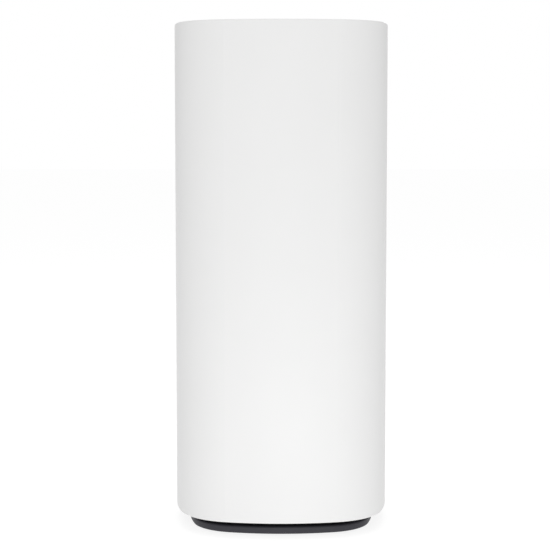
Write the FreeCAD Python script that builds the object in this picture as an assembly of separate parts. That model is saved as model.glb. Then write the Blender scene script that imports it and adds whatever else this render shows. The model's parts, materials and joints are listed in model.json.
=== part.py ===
import FreeCAD, Part

import math
import os

# A tall mesh wifi node. A one-piece white sleeve drops over a dark core: the base, the rear port bay
# and an inner chassis that carries one upright board, its heat sinks and six antennas. Air enters through
# a ring of holes under the sleeve's lower edge and leaves through the perforated cap at the top.
# Millimetres. Origin at the centre of the footprint, on the floor. +Z up, the front faces -Y and the
# port bay faces +Y.

V = FreeCAD.Vector
X_AXIS, Y_AXIS, Z_AXIS = V(1, 0, 0), V(0, 1, 0), V(0, 0, 1)
UP, REAR, FRONT = Z_AXIS, Y_AXIS, V(0, -1, 0)
TOLERANCE = 1e-4

# ---- body outline: four shallow side arcs joined by four tangent corner arcs
BODY_WIDTH = 93.0
NODE_HEIGHT = 217.4
SIDE_RADIUS = 101.5
CORNER_RADIUS = 26.8

# ---- sleeve and cap
SLEEVE_WALL = 2.2
SLEEVE_RIM_ROUND = 0.5
NOTCH_EDGE_ROUND = 0.4
SHADOW_GAP = 5.8  # sleeve's lower edge above the base's lower edge
LEDGE_WIDTH = 3.0
LEDGE_THICKNESS = 2.0
CAP_RECESS = 1.4
CAP_THICKNESS = 1.8
CAP_GAP = 0.35
CAP_EDGE_ROUND = 0.4
CAP_POST_DIAMETER = 5.0

# ---- air holes, in rings that follow the outline
AIR_HOLE_DIAMETER = 1.8
AIR_HOLE_PITCH = 3.5
CAP_RING_FIRST_INSET = 6.6
POST_CLEARANCE = 0.3  # between a cap hole and a post
INTAKE_RING_INSET = 4.95

# ---- base
FOOT_HEIGHT = 0.8
FOOT_WIDTH = 4.0
FOOT_SEAT_DEPTH = 0.8
FOOT_EDGE = 3.4  # bare edge of the base outside the rubber foot
BASE_INSET = 5.85
PLINTH_HEIGHT = 3.15
PLINTH_EDGE_ROUND = 1.0
NECK_INSET = 10.5  # narrow part between the plinth and the flange, which leaves a shadow gap
BASE_WALL = 2.0
BASE_FLOOR = 2.2
BASE_EDGE_ROUND = 0.5
FLANGE_RECESS = 0.8
FLANGE_THICKNESS = 2.0
LIP_WALL = 1.2
LIP_HEIGHT = 3.5
BOSS_DIAMETER = 7.5
BASE_SCREW_X = 24.0
BASE_SCREW_FRONT_Y = -24.0
BASE_SCREW_REAR_Y = 12.5
LABEL_WIDTH, LABEL_DEPTH, LABEL_THICKNESS = 32.0, 18.0, 0.2
LABEL_CORNER = 1.5
LABEL_Y = -4.0

# ---- chassis
CORE_GAP = 0.4
DECK_THICKNESS = 2.0
BOTTOM_DECK_Z = 14.0
TOP_DECK_RING = 3.4
TOP_DECK_CORNER = 11.0  # radius of the deck's pad round each cap screw
LED_BAR_WIDTH = 20.0
RAIL_THICKNESS = 2.0
RAIL_REAR_OVERLAP = 1.8  # rail's rear edge behind the board's rear face
ANTENNA_BAY = 4.2  # space between a side rail and the sleeve's corner arcs
RAIL_WINDOW_HALF, RAIL_WINDOW_HEIGHT = 14.0, 18.0
LOWEST_RAIL_WINDOW_Z = 30.0
TIE_DEPTH, TIE_HEIGHT = 2.5, 10.0
TIE_Y = -26.0
TAB_REACH = 8.5
TAB_THICKNESS = 2.0
TAB_HEIGHT = 9.0

# ---- port bay
PORT_BAY_WIDTH = 45.0  # inside
PORT_BAY_TOP = 84.5
PORT_BAY_CORNER = 7.0
PORT_BAY_SILL_CORNER = 1.5
BAY_WALL = 1.6
BAY_FLOOR = 1.8
BAY_GAP = 0.25
BAY_RECESS = 9.0
BAY_RIM_INSET = 0.35
BAY_RIM_ROUND = 0.3
BAY_SKIRT = 4.2
EAR_THICKNESS = 2.0
PORT_COLUMN = 10.5
ROUND_COLUMN = 12.0  # inlet and pairing button
SWITCH_COLUMN = 9.0
SOCKET_ROWS = (40.5, 57.5)
POWER_ROW = 21.5
USER_ROW = 73.2
CUTOUT_GAP = 0.2

# ---- main board
BOARD_THICKNESS = 1.6
BOARD_HEADROOM = 32.2  # between the board and the top deck
BOARD_GAP = 0.3
JACK_DEPTH = 14.0
BOARD_SCREW_INSET = 4.6
LOWER_SCREW_ROWS = (27.0, 77.0)
TOP_SCREW_DROP = 8.0  # below the board's top edge

# ---- screws
SCREW_DIAMETER = 2.6
SCREW_HEAD_DIAMETER = 5.0
SCREW_HEAD_HEIGHT = 1.6
SCREW_RECESS = 0.9
SCREW_RECESS_SPAN, SCREW_RECESS_SLOT = 2.6, 0.7
SCREW_BITE = 4.0
SCREW_GAP = 0.2
SCREW_HEAD_CHAMFER = 0.3
NUT_RADIUS, NUT_THICKNESS = 2.9, 2.0

# ---- Ethernet sockets
SOCKET_WIDTH, SOCKET_HEIGHT = 16.2, 13.6
SOCKET_SHEET = 0.3
SOCKET_BEND = 0.4  # outer radius of the shields' folded corners
SOCKET_FIT = 0.05
PLUG_WIDTH, PLUG_HEIGHT = 11.9, 7.0
PLUG_TOP = 4.2
LATCH_WIDTH, LATCH_HEIGHT = 6.4, 1.6
LATCH_TIP_WIDTH, LATCH_TIP_HEIGHT = 3.5, 0.9
SOCKET_BACK_WALL = 1.6
CONTACTS = 8
CONTACT_PITCH = 1.02
CONTACT_WIDTH, CONTACT_THICKNESS = 0.45, 0.35
CONTACT_DROP = 2.3
CONTACT_MOUTH_INSET = 1.4
CONTACT_LENGTH = 9.5
LAMP_WIDTH, LAMP_HEIGHT, LAMP_DEPTH = 2.8, 1.2, 3.0
LAMP_SIDE = 4.3

# ---- USB socket
USB_WIDTH, USB_HEIGHT = 13.1, 5.7
USB_SHEET = 0.3
USB_BEND = 0.6
USB_TONGUE_WIDTH, USB_TONGUE_THICKNESS = 11.1, 1.9
USB_TONGUE_RISE = 0.95
USB_TONGUE_SETBACK = 1.0
USB_BLOCK_DEPTH = 4.5

# ---- power inlet
INLET_WIDTH = 9.6
INLET_BORE = 6.5
INLET_EDGE_ROUND = 0.3
INLET_BORE_DEPTH = 10.5
INLET_PIN = 2.0
INLET_PIN_SETBACK = 1.0
INLET_PIN_ROOT, INLET_PIN_ROOT_DIAMETER = 2.0, 3.0
INLET_PIN_ROUND = 0.4

# ---- rocker switch
SWITCH_LENGTH, SWITCH_WIDTH = 13.4, 9.2
SWITCH_RIM, SWITCH_RIM_THICKNESS = 1.0, 1.0
ROCKER_RADIUS = 5.4
ROCKER_WIDTH = 6.6
ROCKER_TILT = 9.0
ROCKER_PIVOT_DEPTH = 2.6
ROCKER_VALLEY = 1.6
ROCKER_UNDERSIDE = 2.4
ROCKER_GAP = 0.25
TRUNNION_DIAMETER, TRUNNION_LENGTH = 1.8, 0.8
TRUNNION_GAP = 0.05
SWITCH_RIM_ROUND = 0.8
SWITCH_EDGE_ROUND = 0.3
ROCKER_EDGE_ROUND = 0.25
MARK_DEPTH, MARK_HEIGHT, MARK_LINE = 0.15, 2.2, 0.5
MARK_X = 3.0

# ---- pairing and reset buttons
PAIR_DIAMETER = 7.0
PAIR_PROUD = 0.8
PAIR_GAP = 0.2
PAIR_TRAVEL = 0.6
PAIR_FLANGE_DIAMETER, PAIR_FLANGE = 9.4, 1.0
PAIR_EDGE_ROUND = 0.4
RESET_DIAMETER = 2.4
RESET_X = -12.0
RESET_TRAVEL = 0.5
RESET_FLANGE_DIAMETER, RESET_FLANGE = 5.0, 1.0
RESET_SETBACK = 0.6
STEM_DIAMETER = 3.0
PRESS_GAP = 0.1
TACT_SIZE, TACT_HEIGHT = 6.2, 3.4
TACT_PLUNGER_DIAMETER, TACT_PLUNGER_GAP = 2.4, 0.1
TACT_PLUNGER_LENGTH = 2.2
RESET_PLUNGER_DIAMETER = 2.0
RESET_SWITCH_LENGTH = 4.3
RESET_SWITCH_RISE = 1.0  # above the bottom deck

# ---- heat sinks, shields and chips
CHIP_HEIGHT = 1.4
INNER_PAD = 0.5
SHIELD_SHEET = 0.3
OUTER_PAD = 1.0
SINK_BASE = 3.0
FIN_THICKNESS = 1.4
FRONT_SINK_HALF_WIDTH = 25.0
FRONT_SINK_BOTTOM_Z, FRONT_SINK_TOP_DROP = 84.0, 10.0  # the drop is below the board's top edge
FRONT_FINS, FRONT_FIN_DEPTH = 9, 26.0
REAR_SINK_HALF_WIDTH = 18.0
REAR_SINK_BOTTOM_Z, REAR_SINK_TOP_DROP = 94.0, 16.0
REAR_FINS, REAR_FIN_DEPTH = 7, 7.0
SINK_BOSS_DIAMETER = 6.0
SINK_SCREW_EDGE = 4.0
PROCESSOR_SIZE = 19.0
PROCESSOR_SHIELD = 40.0
PAD_MARGIN = 1.0
MEMORY_X, MEMORY_WIDTH, MEMORY_LENGTH = 15.0, 7.5, 12.0
RADIO_SPACING = 28.0
RADIO_SIZE = 10.0
RADIO_SHIELD = 24.0
RADIO_SHIELD_HEIGHT = 3.0
TRANSFORMER_WIDTH, TRANSFORMER_LENGTH, TRANSFORMER_HEIGHT = 16.0, 12.0, 5.5
ROUTER_CHIP_SIZE, ROUTER_CHIP_Z = 12.0, 73.5
INDUCTOR_SIZE, INDUCTOR_HEIGHT, INDUCTOR_ROUND = 7.0, 4.5, 1.2
INDUCTOR_X = 5.0
CAPACITOR_DIAMETER, CAPACITOR_HEIGHT = 8.0, 9.0
CAPACITOR_X = 18.0
POWER_PARTS_Z = 28.5

# ---- antennas and their leads
ANTENNA_WIDTH, ANTENNA_LENGTH, ANTENNA_THICKNESS = 14.0, 40.0, 0.8
ANTENNA_FRONT_Y, ANTENNA_REAR_Y = -13.0, 9.0
LOW_ANTENNA_Z = 62.0
HIGH_ANTENNA_DROP = 9.2  # below the top deck
ANTENNA_FEED = 3.0
PEG_DIAMETER, PEG_INSET = 4.0, 6.0
LEAD_DIAMETER = 1.2
LEAD_GAP = 0.5  # between a lead and the sleeve
LEAD_TURNS = (10.0, 32.0, 50.0)  # where the lead bends round the corner arc, in degrees from +X
LEAD_BEND_SHARE = 0.45  # of the shorter run beside a bend
LEAD_SOCKET_X = 27.0
LEAD_SOCKET_SIZE, LEAD_SOCKET_HEIGHT = 2.8, 1.0
LEAD_PLUG_DIAMETER, LEAD_PLUG_HEIGHT = 3.2, 1.2

# ---- status light
LIGHT_DIAMETER = 3.0
LIGHT_GAP = 0.1
LIGHT_FLANGE_DIAMETER, LIGHT_FLANGE = 5.0, 0.8
LED_WIDTH, LED_DEPTH, LED_HEIGHT = 1.6, 1.0, 0.6
LED_BOARD_WIDTH, LED_BOARD_DEPTH, LED_BOARD_THICKNESS = 18.0, 14.0, 1.0
LED_WELL_DIAMETER = 4.0
RIBBON_WIDTH, RIBBON_THICKNESS = 5.0, 0.3
RIBBON_SOCKET_WIDTH, RIBBON_SOCKET_LENGTH, RIBBON_SOCKET_HEIGHT = 7.0, 4.0, 1.2

# ---- places worked out from the sizes above
HALF = BODY_WIDTH / 2
SIDE_CENTRE = SIDE_RADIUS - HALF
CORNER_CENTRE = (math.sqrt(2 * (SIDE_RADIUS - CORNER_RADIUS) ** 2 - SIDE_CENTRE**2) - SIDE_CENTRE) / 2
SIDE_ANGLE = math.atan2(CORNER_CENTRE, CORNER_CENTRE + SIDE_CENTRE)

SLEEVE_Z = FOOT_HEIGHT + SHADOW_GAP
CAP_TOP_Z = NODE_HEIGHT - CAP_RECESS
CAP_Z = CAP_TOP_Z - CAP_THICKNESS
LEDGE_Z = CAP_Z - LEDGE_THICKNESS
TOP_DECK_Z = LEDGE_Z - DECK_THICKNESS
CORE_INSET = SLEEVE_WALL + CORE_GAP
FLANGE_Z = SLEEVE_Z + FLANGE_RECESS
FLANGE_TOP_Z = FLANGE_Z + FLANGE_THICKNESS
FLOOR_TOP_Z = FOOT_HEIGHT + BASE_FLOOR
PLINTH_TOP_Z = FOOT_HEIGHT + PLINTH_HEIGHT
BOTTOM_DECK_TOP_Z = BOTTOM_DECK_Z + DECK_THICKNESS

PANEL_Y = HALF - BAY_RECESS
PANEL_BACK_Y = PANEL_Y - BAY_FLOOR
BOARD_REAR_Y = PANEL_Y - JACK_DEPTH
BOARD_FRONT_Y = BOARD_REAR_Y - BOARD_THICKNESS
SKIRT_Y = PANEL_BACK_Y - BAY_SKIRT
BAY_HALF = PORT_BAY_WIDTH / 2 + BAY_WALL
BAY_Z = FLANGE_TOP_Z + BAY_GAP
NOTCH_HALF = BAY_HALF + BAY_GAP

RAIL_OUTER_X = CORNER_CENTRE + CORNER_RADIUS - SLEEVE_WALL - ANTENNA_BAY
RAIL_INNER_X = RAIL_OUTER_X - RAIL_THICKNESS
RAIL_REAR_Y = BOARD_REAR_Y + RAIL_REAR_OVERLAP
BOARD_HALF = RAIL_INNER_X - BOARD_GAP
BOARD_TOP_Z = TOP_DECK_Z - BOARD_HEADROOM
TOP_SCREW_Z = BOARD_TOP_Z - TOP_SCREW_DROP
UPPER_SCREW_ROWS = ((LOWER_SCREW_ROWS[-1] + TOP_SCREW_Z) / 2, TOP_SCREW_Z)
BOARD_SCREW_X = BOARD_HALF - BOARD_SCREW_INSET
LOWER_SCREWS = [(s * BOARD_SCREW_X, z) for s in (-1, 1) for z in LOWER_SCREW_ROWS]
UPPER_SCREWS = [(s * BOARD_SCREW_X, z) for s in (-1, 1) for z in UPPER_SCREW_ROWS]
BOARD_SCREWS = LOWER_SCREWS + UPPER_SCREWS
BASE_SCREWS = [(s * BASE_SCREW_X, y) for s in (-1, 1) for y in (BASE_SCREW_FRONT_Y, BASE_SCREW_REAR_Y)]
FRONT_SINK_Z = (FRONT_SINK_BOTTOM_Z, BOARD_TOP_Z - FRONT_SINK_TOP_DROP)
REAR_SINK_Z = (REAR_SINK_BOTTOM_Z, BOARD_TOP_Z - REAR_SINK_TOP_DROP)
PROCESSOR_Z = sum(FRONT_SINK_Z) / 2
RADIO_Z = [sum(REAR_SINK_Z) / 2 + s * RADIO_SPACING / 2 for s in (-1, 1)]
SINK_SCREWS = [
    (s * (FRONT_SINK_HALF_WIDTH - SINK_SCREW_EDGE), z)
    for s in (-1, 1)
    for z in (FRONT_SINK_Z[0] + SINK_SCREW_EDGE, FRONT_SINK_Z[1] - SINK_SCREW_EDGE)
]
REAR_SINK_SCREWS = [(0, REAR_SINK_Z[0] + SINK_SCREW_EDGE), (0, REAR_SINK_Z[1] - SINK_SCREW_EDGE)]
SOCKETS = {
    "lan_socket_1": (-PORT_COLUMN, SOCKET_ROWS[0]),
    "lan_socket_2": (PORT_COLUMN, SOCKET_ROWS[0]),
    "lan_socket_3": (-PORT_COLUMN, SOCKET_ROWS[1]),
    "internet_socket": (PORT_COLUMN, SOCKET_ROWS[1]),
}
USB_AT = (-PORT_COLUMN, USER_ROW)
PAIR_AT = (ROUND_COLUMN, USER_ROW)
INLET_AT = (-ROUND_COLUMN, POWER_ROW)
SWITCH_AT = (SWITCH_COLUMN, POWER_ROW)
RESET_Y = BOARD_FRONT_Y - TACT_HEIGHT / 2
ANTENNA_FRONT_Z = (LOW_ANTENNA_Z, TOP_DECK_Z - HIGH_ANTENNA_DROP - ANTENNA_LENGTH / 2)
ANTENNA_REAR_Z = sum(ANTENNA_FRONT_Z) / 2
LEAD_INSET = SLEEVE_WALL + LEAD_GAP + LEAD_DIAMETER / 2
LEAD_X = CORNER_CENTRE + (CORNER_RADIUS - LEAD_INSET) * math.cos(math.radians(LEAD_TURNS[0]))
ANTENNA_OUTER_X = LEAD_X - LEAD_DIAMETER / 2
ANTENNA_INNER_X = ANTENNA_OUTER_X - ANTENNA_THICKNESS


# ---------------------------------------------------------------- shapes
def box(x0, x1, y0, y1, z0, z1):
    return Part.makeBox(x1 - x0, y1 - y0, z1 - z0, V(x0, y0, z0))


def rod(diameter, start, direction, length):
    return Part.makeCylinder(diameter / 2, length, start, direction)


def fuse(shapes):
    return shapes[0].multiFuse(shapes[1:]).removeSplitter()


def turned(point, quarter):
    """A point in plan, turned by whole quarter turns about the origin."""
    angle = quarter * math.pi / 2
    c, s = math.cos(angle), math.sin(angle)
    return V(point[0] * c - point[1] * s, point[0] * s + point[1] * c, 0)


def outline(inset, z):
    """The body's closed outline at height z, moved inwards by inset."""
    side, corner = SIDE_RADIUS - inset, CORNER_RADIUS - inset
    lift = V(0, 0, z)
    edges = []
    for quarter in range(4):
        side_points = [
            (side * math.cos(a) - SIDE_CENTRE, side * math.sin(a)) for a in (-SIDE_ANGLE, 0, SIDE_ANGLE)
        ]
        corner_points = [
            (CORNER_CENTRE + corner * math.cos(a), CORNER_CENTRE + corner * math.sin(a))
            for a in (SIDE_ANGLE, math.pi / 4, math.pi / 2 - SIDE_ANGLE)
        ]
        for points in (side_points, corner_points):
            edges.append(Part.Arc(*[turned(p, quarter) + lift for p in points]).toShape())
    return Part.Wire(edges)


def outline_y(inset, x):
    """How far back the outline reaches at x, within the corner arc."""
    radius = CORNER_RADIUS - inset
    return CORNER_CENTRE + math.sqrt(radius**2 - (abs(x) - CORNER_CENTRE) ** 2)


def slab(inset, z0, z1):
    return Part.Face(outline(inset, z0)).extrude(V(0, 0, z1 - z0))


def ring(outer, inner, z0, z1):
    return slab(outer, z0, z1).cut(slab(inner, z0, z1))


def ring_of_points(inset, pitch):
    """Points spaced evenly along the outline, a multiple of four of them."""
    wire = outline(inset, 0)
    count = 4 * round(wire.Length / pitch / 4)
    return wire.discretize(Number=count + 1)[:-1]


def holes(points, diameter, z0, z1):
    return [rod(diameter, V(p.x, p.y, z0), UP, z1 - z0) for p in points]


def perforated_slab(inset, z0, z1, points, diameter):
    """A slab of the outline, with a round hole at each point."""
    wires = [outline(inset, z0)]
    wires += [Part.Wire(Part.makeCircle(diameter / 2, V(p.x, p.y, z0))) for p in points]
    return Part.makeFace(wires, "Part::FaceMakerBullseye").extrude(V(0, 0, z1 - z0))


def bay_prism(half_width, z0, z1, top_round, sill_round, y0, y1):
    """An upright rounded rectangle, centred on x = 0, pushed from y0 to y1."""
    prism = box(-half_width, half_width, y0, y1, z0, z1)
    for z, radius in ((z1, top_round), (z0, sill_round)):
        prism = rounded(prism, radius, lambda e: e.BoundBox.YLength > TOLERANCE and flat_at("Z", z)(e))
    return prism


def rounded_path(points):
    """Straight runs joined by tangent arcs, each as large as the runs beside it allow."""
    edges, here = [], points[0]
    for before, corner, after in zip(points, points[1:], points[2:]):
        back = LEAD_BEND_SHARE * min((corner - before).Length, (after - corner).Length)
        into, out = (corner - before).normalize(), (after - corner).normalize()
        half_turn = into.getAngle(out) / 2
        radius = back / math.tan(half_turn)
        start, end = corner - into * back, corner + out * back
        middle = corner + (out - into).normalize() * (radius / math.cos(half_turn) - radius)
        edges += [Part.makeLine(here, start), Part.Arc(start, middle, end).toShape()]
        here = end
    edges.append(Part.makeLine(here, points[-1]))
    return Part.Wire(edges)


def tube_along(points, diameter):
    profile = Part.Wire(Part.makeCircle(diameter / 2, points[0], points[1] - points[0]))
    return rounded_path(points).makePipeShell([profile], True, True)


def strip_along(points, thickness, width):
    """A flat strip centred on x = 0 that follows the points."""
    across = (points[1] - points[0]).cross(X_AXIS).normalize() * (thickness / 2)
    half = X_AXIS * (width / 2)
    start = points[0]
    profile = [start - across - half, start + across - half, start + across + half, start - across + half]
    return rounded_path(points).makePipeShell([Part.makePolygon(profile + profile[:1])], True, True)


def screw(head_seat, direction, length):
    """A cross-recess screw whose head bears at head_seat and which goes in along direction."""
    head = rod(SCREW_HEAD_DIAMETER, head_seat - direction * SCREW_HEAD_HEIGHT, direction, SCREW_HEAD_HEIGHT)
    top = head_seat - direction * SCREW_HEAD_HEIGHT
    span, slot = SCREW_RECESS_SPAN / 2, SCREW_RECESS_SLOT / 2
    bars = [box(-a, a, -b, b, -SCREW_RECESS, SCREW_RECESS) for a, b in ((span, slot), (slot, span))]
    for bar in bars:
        bar.Placement = FreeCAD.Placement(top, FreeCAD.Rotation(UP, direction))
    rim = [e for e in head.Edges if (e.CenterOfMass - top).Length < TOLERANCE]
    head = head.makeChamfer(SCREW_HEAD_CHAMFER, rim).cut(bars)
    return head.fuse(rod(SCREW_DIAMETER, head_seat, direction, length)).removeSplitter()


def rounded(shape, radius, test):
    """Rounds the edges that the test picks."""
    return shape.makeFillet(radius, [e for e in shape.Edges if test(e)])


def middle(edge):
    return edge.valueAt((edge.FirstParameter + edge.LastParameter) / 2)


def upright(inset):
    """The upright surface of the body's outline, moved inwards by inset, at its full height."""
    return outline(inset, 0).extrude(V(0, 0, NODE_HEIGHT))


def lying_on(*surfaces):
    """Picks the edges whose middles lie on every one of these surfaces."""
    return lambda e: all(s.distToShape(Part.Vertex(middle(e)))[0] < TOLERANCE for s in surfaces)


def flat_at(axis, value):
    """Picks the edges that lie in one plane across an axis."""
    sides = (axis + "Min", axis + "Max")
    return lambda e: all(abs(getattr(e.BoundBox, side) - value) < TOLERANCE for side in sides)


def block_at(x, z, width, height, y0, y1):
    """A block centred on (x, z), from y0 to y1."""
    return box(x - width / 2, x + width / 2, y0, y1, z - height / 2, z + height / 2)


# ---------------------------------------------------------------- casing
def outer_sleeve():
    shell = ring(0, SLEEVE_WALL, SLEEVE_Z, NODE_HEIGHT)
    shell = rounded(shell, SLEEVE_RIM_ROUND, flat_at("Z", NODE_HEIGHT))
    shell = rounded(shell, SLEEVE_RIM_ROUND, flat_at("Z", SLEEVE_Z))
    ledge = ring(SLEEVE_WALL / 2, SLEEVE_WALL + LEDGE_WIDTH, LEDGE_Z, CAP_Z)
    top = PORT_BAY_TOP + BAY_GAP
    round_off = PORT_BAY_CORNER + BAY_GAP
    notch = bay_prism(NOTCH_HALF, -top, top, round_off, round_off, 0, BODY_WIDTH)
    shell = shell.fuse(ledge).removeSplitter().cut(notch)
    return rounded(shell, NOTCH_EDGE_ROUND, lying_on(upright(0), notch.Shells[0]))


def cap_posts():
    """Centres of the four posts under the cap, inside the sleeve's ledge."""
    reach = CORNER_RADIUS - SLEEVE_WALL - LEDGE_WIDTH - CAP_GAP - CAP_POST_DIAMETER / 2
    d = CORNER_CENTRE + reach / math.sqrt(2)
    return [V(sx * d, sy * d, 0) for sx in (-1, 1) for sy in (-1, 1)]


def cap_holes():
    """Hole centres, ring inside ring until the outline's corners close, clear of the posts."""
    clear = (CAP_POST_DIAMETER + AIR_HOLE_DIAMETER) / 2 + POST_CLEARANCE
    posts = cap_posts()
    rings = 1 + int((CORNER_RADIUS - CAP_RING_FIRST_INSET) / AIR_HOLE_PITCH)
    points = []
    for k in range(rings):
        points += ring_of_points(CAP_RING_FIRST_INSET + k * AIR_HOLE_PITCH, AIR_HOLE_PITCH)
    return [p for p in points if all((p - post).Length > clear for post in posts)]


def top_cap():
    edge = SLEEVE_WALL + CAP_GAP
    plate = perforated_slab(edge, CAP_Z, CAP_TOP_Z, cap_holes(), AIR_HOLE_DIAMETER)
    on_top = flat_at("Z", CAP_TOP_Z)
    plate = rounded(plate, CAP_EDGE_ROUND, lambda e: on_top(e) and e.Length > 4 * AIR_HOLE_DIAMETER)
    posts = [rod(CAP_POST_DIAMETER, p + V(0, 0, LEDGE_Z), UP, LEDGE_THICKNESS) for p in cap_posts()]
    pilots = [rod(SCREW_DIAMETER, p + V(0, 0, LEDGE_Z), UP, SCREW_BITE - DECK_THICKNESS) for p in cap_posts()]
    light = rod(LIGHT_DIAMETER + 2 * LIGHT_GAP, V(0, 0, CAP_Z), UP, CAP_THICKNESS)
    flange = rod(LIGHT_FLANGE_DIAMETER + 2 * LIGHT_GAP, V(0, 0, CAP_Z), UP, LIGHT_FLANGE)
    return fuse([plate] + posts).cut(pilots + [light, flange])


def cap_screws():
    return [screw(p + V(0, 0, TOP_DECK_Z), UP, SCREW_BITE) for p in cap_posts()]


def flange():
    """The base's rim, with intake holes, a lip that centres the sleeve and the sill that fills its notch."""
    intake = ring_of_points(INTAKE_RING_INSET, AIR_HOLE_PITCH)
    rim = perforated_slab(CORE_INSET, FLANGE_Z, FLANGE_TOP_Z, intake, AIR_HOLE_DIAMETER)
    lip_top = FLANGE_TOP_Z + LIP_HEIGHT
    lip = ring(CORE_INSET, CORE_INSET + LIP_WALL, FLANGE_TOP_Z, lip_top)
    lip = lip.cut(box(-NOTCH_HALF, NOTCH_HALF, 0, HALF, FLANGE_TOP_Z, lip_top))
    sill = ring(BAY_RIM_INSET, CORE_INSET + LIP_WALL, SLEEVE_Z, FLANGE_TOP_Z)
    sill = sill.common(box(-BAY_HALF, BAY_HALF, 0, HALF, SLEEVE_Z, FLANGE_TOP_Z))
    return fuse([rim, lip, sill.cut(holes(intake, AIR_HOLE_DIAMETER, SLEEVE_Z, FLANGE_TOP_Z))])


def base():
    plinth = slab(BASE_INSET, FOOT_HEIGHT, PLINTH_TOP_Z)
    plinth = rounded(plinth, BASE_EDGE_ROUND, flat_at("Z", FOOT_HEIGHT))
    plinth = rounded(plinth, PLINTH_EDGE_ROUND, flat_at("Z", PLINTH_TOP_Z))
    neck = slab(NECK_INSET, PLINTH_TOP_Z, FLANGE_Z)
    hollow = slab(NECK_INSET + BASE_WALL, FLOOR_TOP_Z, FLANGE_TOP_Z)
    height = BOTTOM_DECK_Z - FOOT_HEIGHT
    bosses = [rod(BOSS_DIAMETER, V(x, y, FOOT_HEIGHT), UP, height) for x, y in BASE_SCREWS]
    shell = fuse([fuse([plinth, neck, flange()]).cut(hollow)] + bosses)
    seat = BASE_INSET + FOOT_EDGE
    tools = [ring(seat, seat + FOOT_WIDTH, FOOT_HEIGHT, FOOT_HEIGHT + FOOT_SEAT_DEPTH)]
    for x, y in BASE_SCREWS:
        tools.append(rod(SCREW_HEAD_DIAMETER + 2 * SCREW_GAP, V(x, y, 0), UP, base_screw_seat_z()))
        tools.append(rod(SCREW_DIAMETER + 2 * SCREW_GAP, V(x, y, 0), UP, BOTTOM_DECK_TOP_Z))
    tools.append(rod(RESET_DIAMETER + 2 * PAIR_GAP, V(RESET_X, RESET_Y, 0), UP, FLANGE_Z))
    return shell.cut(tools)


def base_screw_seat_z():
    """Where the base screws' heads bear, so that each head sits just inside its counterbore."""
    return FOOT_HEIGHT + SCREW_HEAD_HEIGHT + SCREW_GAP


def base_screws():
    seat = base_screw_seat_z()
    length = BOTTOM_DECK_TOP_Z - seat
    return [screw(V(x, y, seat), UP, length) for x, y in BASE_SCREWS]


def rubber_foot():
    outer = BASE_INSET + FOOT_EDGE
    return ring(outer, outer + FOOT_WIDTH, 0, FOOT_HEIGHT + FOOT_SEAT_DEPTH)


def rating_label():
    label = Part.makeBox(LABEL_WIDTH, LABEL_DEPTH, LABEL_THICKNESS,
                         V(-LABEL_WIDTH / 2, LABEL_Y - LABEL_DEPTH / 2, FOOT_HEIGHT - LABEL_THICKNESS))
    return rounded(label, LABEL_CORNER, lambda e: e.BoundBox.ZLength > LABEL_THICKNESS / 2)


# ---------------------------------------------------------------- chassis
def bottom_deck():
    """It stops short of the port bay, and has a window for the air that comes up from the intake holes."""
    boss = BOSS_DIAMETER / 2
    return slab(CORE_INSET, BOTTOM_DECK_Z, BOTTOM_DECK_TOP_Z).cut([
        box(-HALF, HALF, SKIRT_Y - CORE_GAP, HALF, BOTTOM_DECK_Z, BOTTOM_DECK_TOP_Z),
        box(-BASE_SCREW_X + 2 * boss, BASE_SCREW_X - 2 * boss, BASE_SCREW_FRONT_Y, BASE_SCREW_REAR_Y - boss,
            BOTTOM_DECK_Z, BOTTOM_DECK_TOP_Z),
        rod(RESET_DIAMETER + 2 * PAIR_GAP, V(RESET_X, RESET_Y, BOTTOM_DECK_Z), UP, DECK_THICKNESS),
    ])


def top_deck():
    """A narrow ring under the sleeve's ledge, a pad at each cap screw and a bar that carries the light."""
    full = slab(CORE_INSET, TOP_DECK_Z, LEDGE_Z)
    centres = [p + V(0, 0, TOP_DECK_Z) for p in cap_posts()]
    crossing = [rod(2 * TOP_DECK_CORNER, p, UP, DECK_THICKNESS) for p in centres]
    crossing.append(box(-HALF, HALF, -LED_BAR_WIDTH / 2, LED_BAR_WIDTH / 2, TOP_DECK_Z, LEDGE_Z))
    kept = [ring(CORE_INSET, CORE_INSET + TOP_DECK_RING, TOP_DECK_Z, LEDGE_Z)]
    kept += [full.common(shape) for shape in crossing]
    bores = [rod(SCREW_DIAMETER + 2 * SCREW_GAP, p, UP, DECK_THICKNESS) for p in centres]
    return fuse(kept).cut(bores + [rod(LED_WELL_DIAMETER, V(0, 0, TOP_DECK_Z), UP, DECK_THICKNESS)])


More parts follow.
